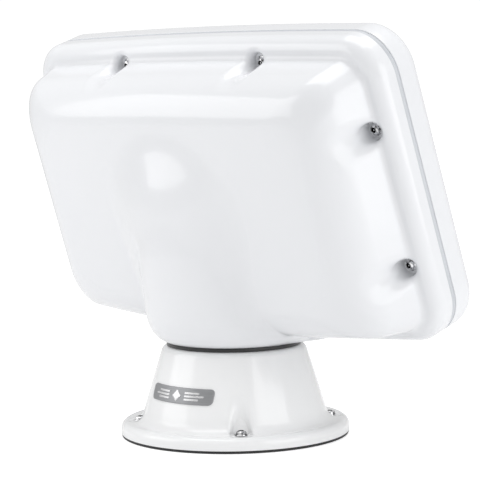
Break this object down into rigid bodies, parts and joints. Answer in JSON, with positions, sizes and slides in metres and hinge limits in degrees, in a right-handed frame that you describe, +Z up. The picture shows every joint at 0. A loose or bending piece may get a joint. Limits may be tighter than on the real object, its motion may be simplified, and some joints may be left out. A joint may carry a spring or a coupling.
{
  "type": "swivelling marine instrument pod",
  "caption": "Leaning instrument housing for a boat that swivels on a round cone-shaped deck pedestal, with a friction-clamped hollow spindle as the cable way.",
  "frame": {"origin": "centre of the base's underside, on the swivel axis, where the gasket meets the deck", "axes": "+Z up along the swivel axis; the instrument panel faces -Y and leans back 19 degrees; +X is along the panel's width"},
  "size_m": [0.466, 0.21, 0.3886],
  "materials": {
    "white_gelcoat": "gloss",
    "black_rubber": "matte",
    "grey_silicone": "satin",
    "stainless": "polished",
    "brushed_badge": "brushed",
    "badge_raised": "polished",
    "black_acetal": "satin",
    "cast_aluminium": "machined",
    "spring_steel": "satin",
    "insert_brass": "knurled"
  },
  "bodies": {
    "pedestal": {"pedestal_base": "white_gelcoat", "base_gasket": "black_rubber", "base_screws": "stainless", "base_washers": "stainless", "badge_plate": "brushed_badge", "badge_mark": "badge_raised", "bearing_ring": "black_acetal", "spindle_bushing": "black_acetal", "stop_pin": "stainless"},
    "pod": {"rear_shell": "white_gelcoat", "front_cover": "white_gelcoat", "seam_seal": "grey_silicone", "screw_sleeves": "grey_silicone", "cover_screws": "stainless", "cover_washers": "stainless", "cover_inserts": "insert_brass", "spindle": "cast_aluminium", "hub_gasket": "black_rubber", "hub_screws": "stainless", "cable_grommet": "black_rubber", "friction_washer": "black_acetal", "disc_springs": "spring_steel", "stop_collar": "cast_aluminium", "collar_screw": "stainless", "lock_washer": "spring_steel", "spindle_nut": "cast_aluminium"}
  },
  "joints": [
    {"name": "pod_swivel", "type": "hinge", "parent": "pedestal", "child": "pod", "pos_m": [0, 0, 0.0865], "axis": [0, 0, 1], "range_deg": [-160, 174]}
  ]
}
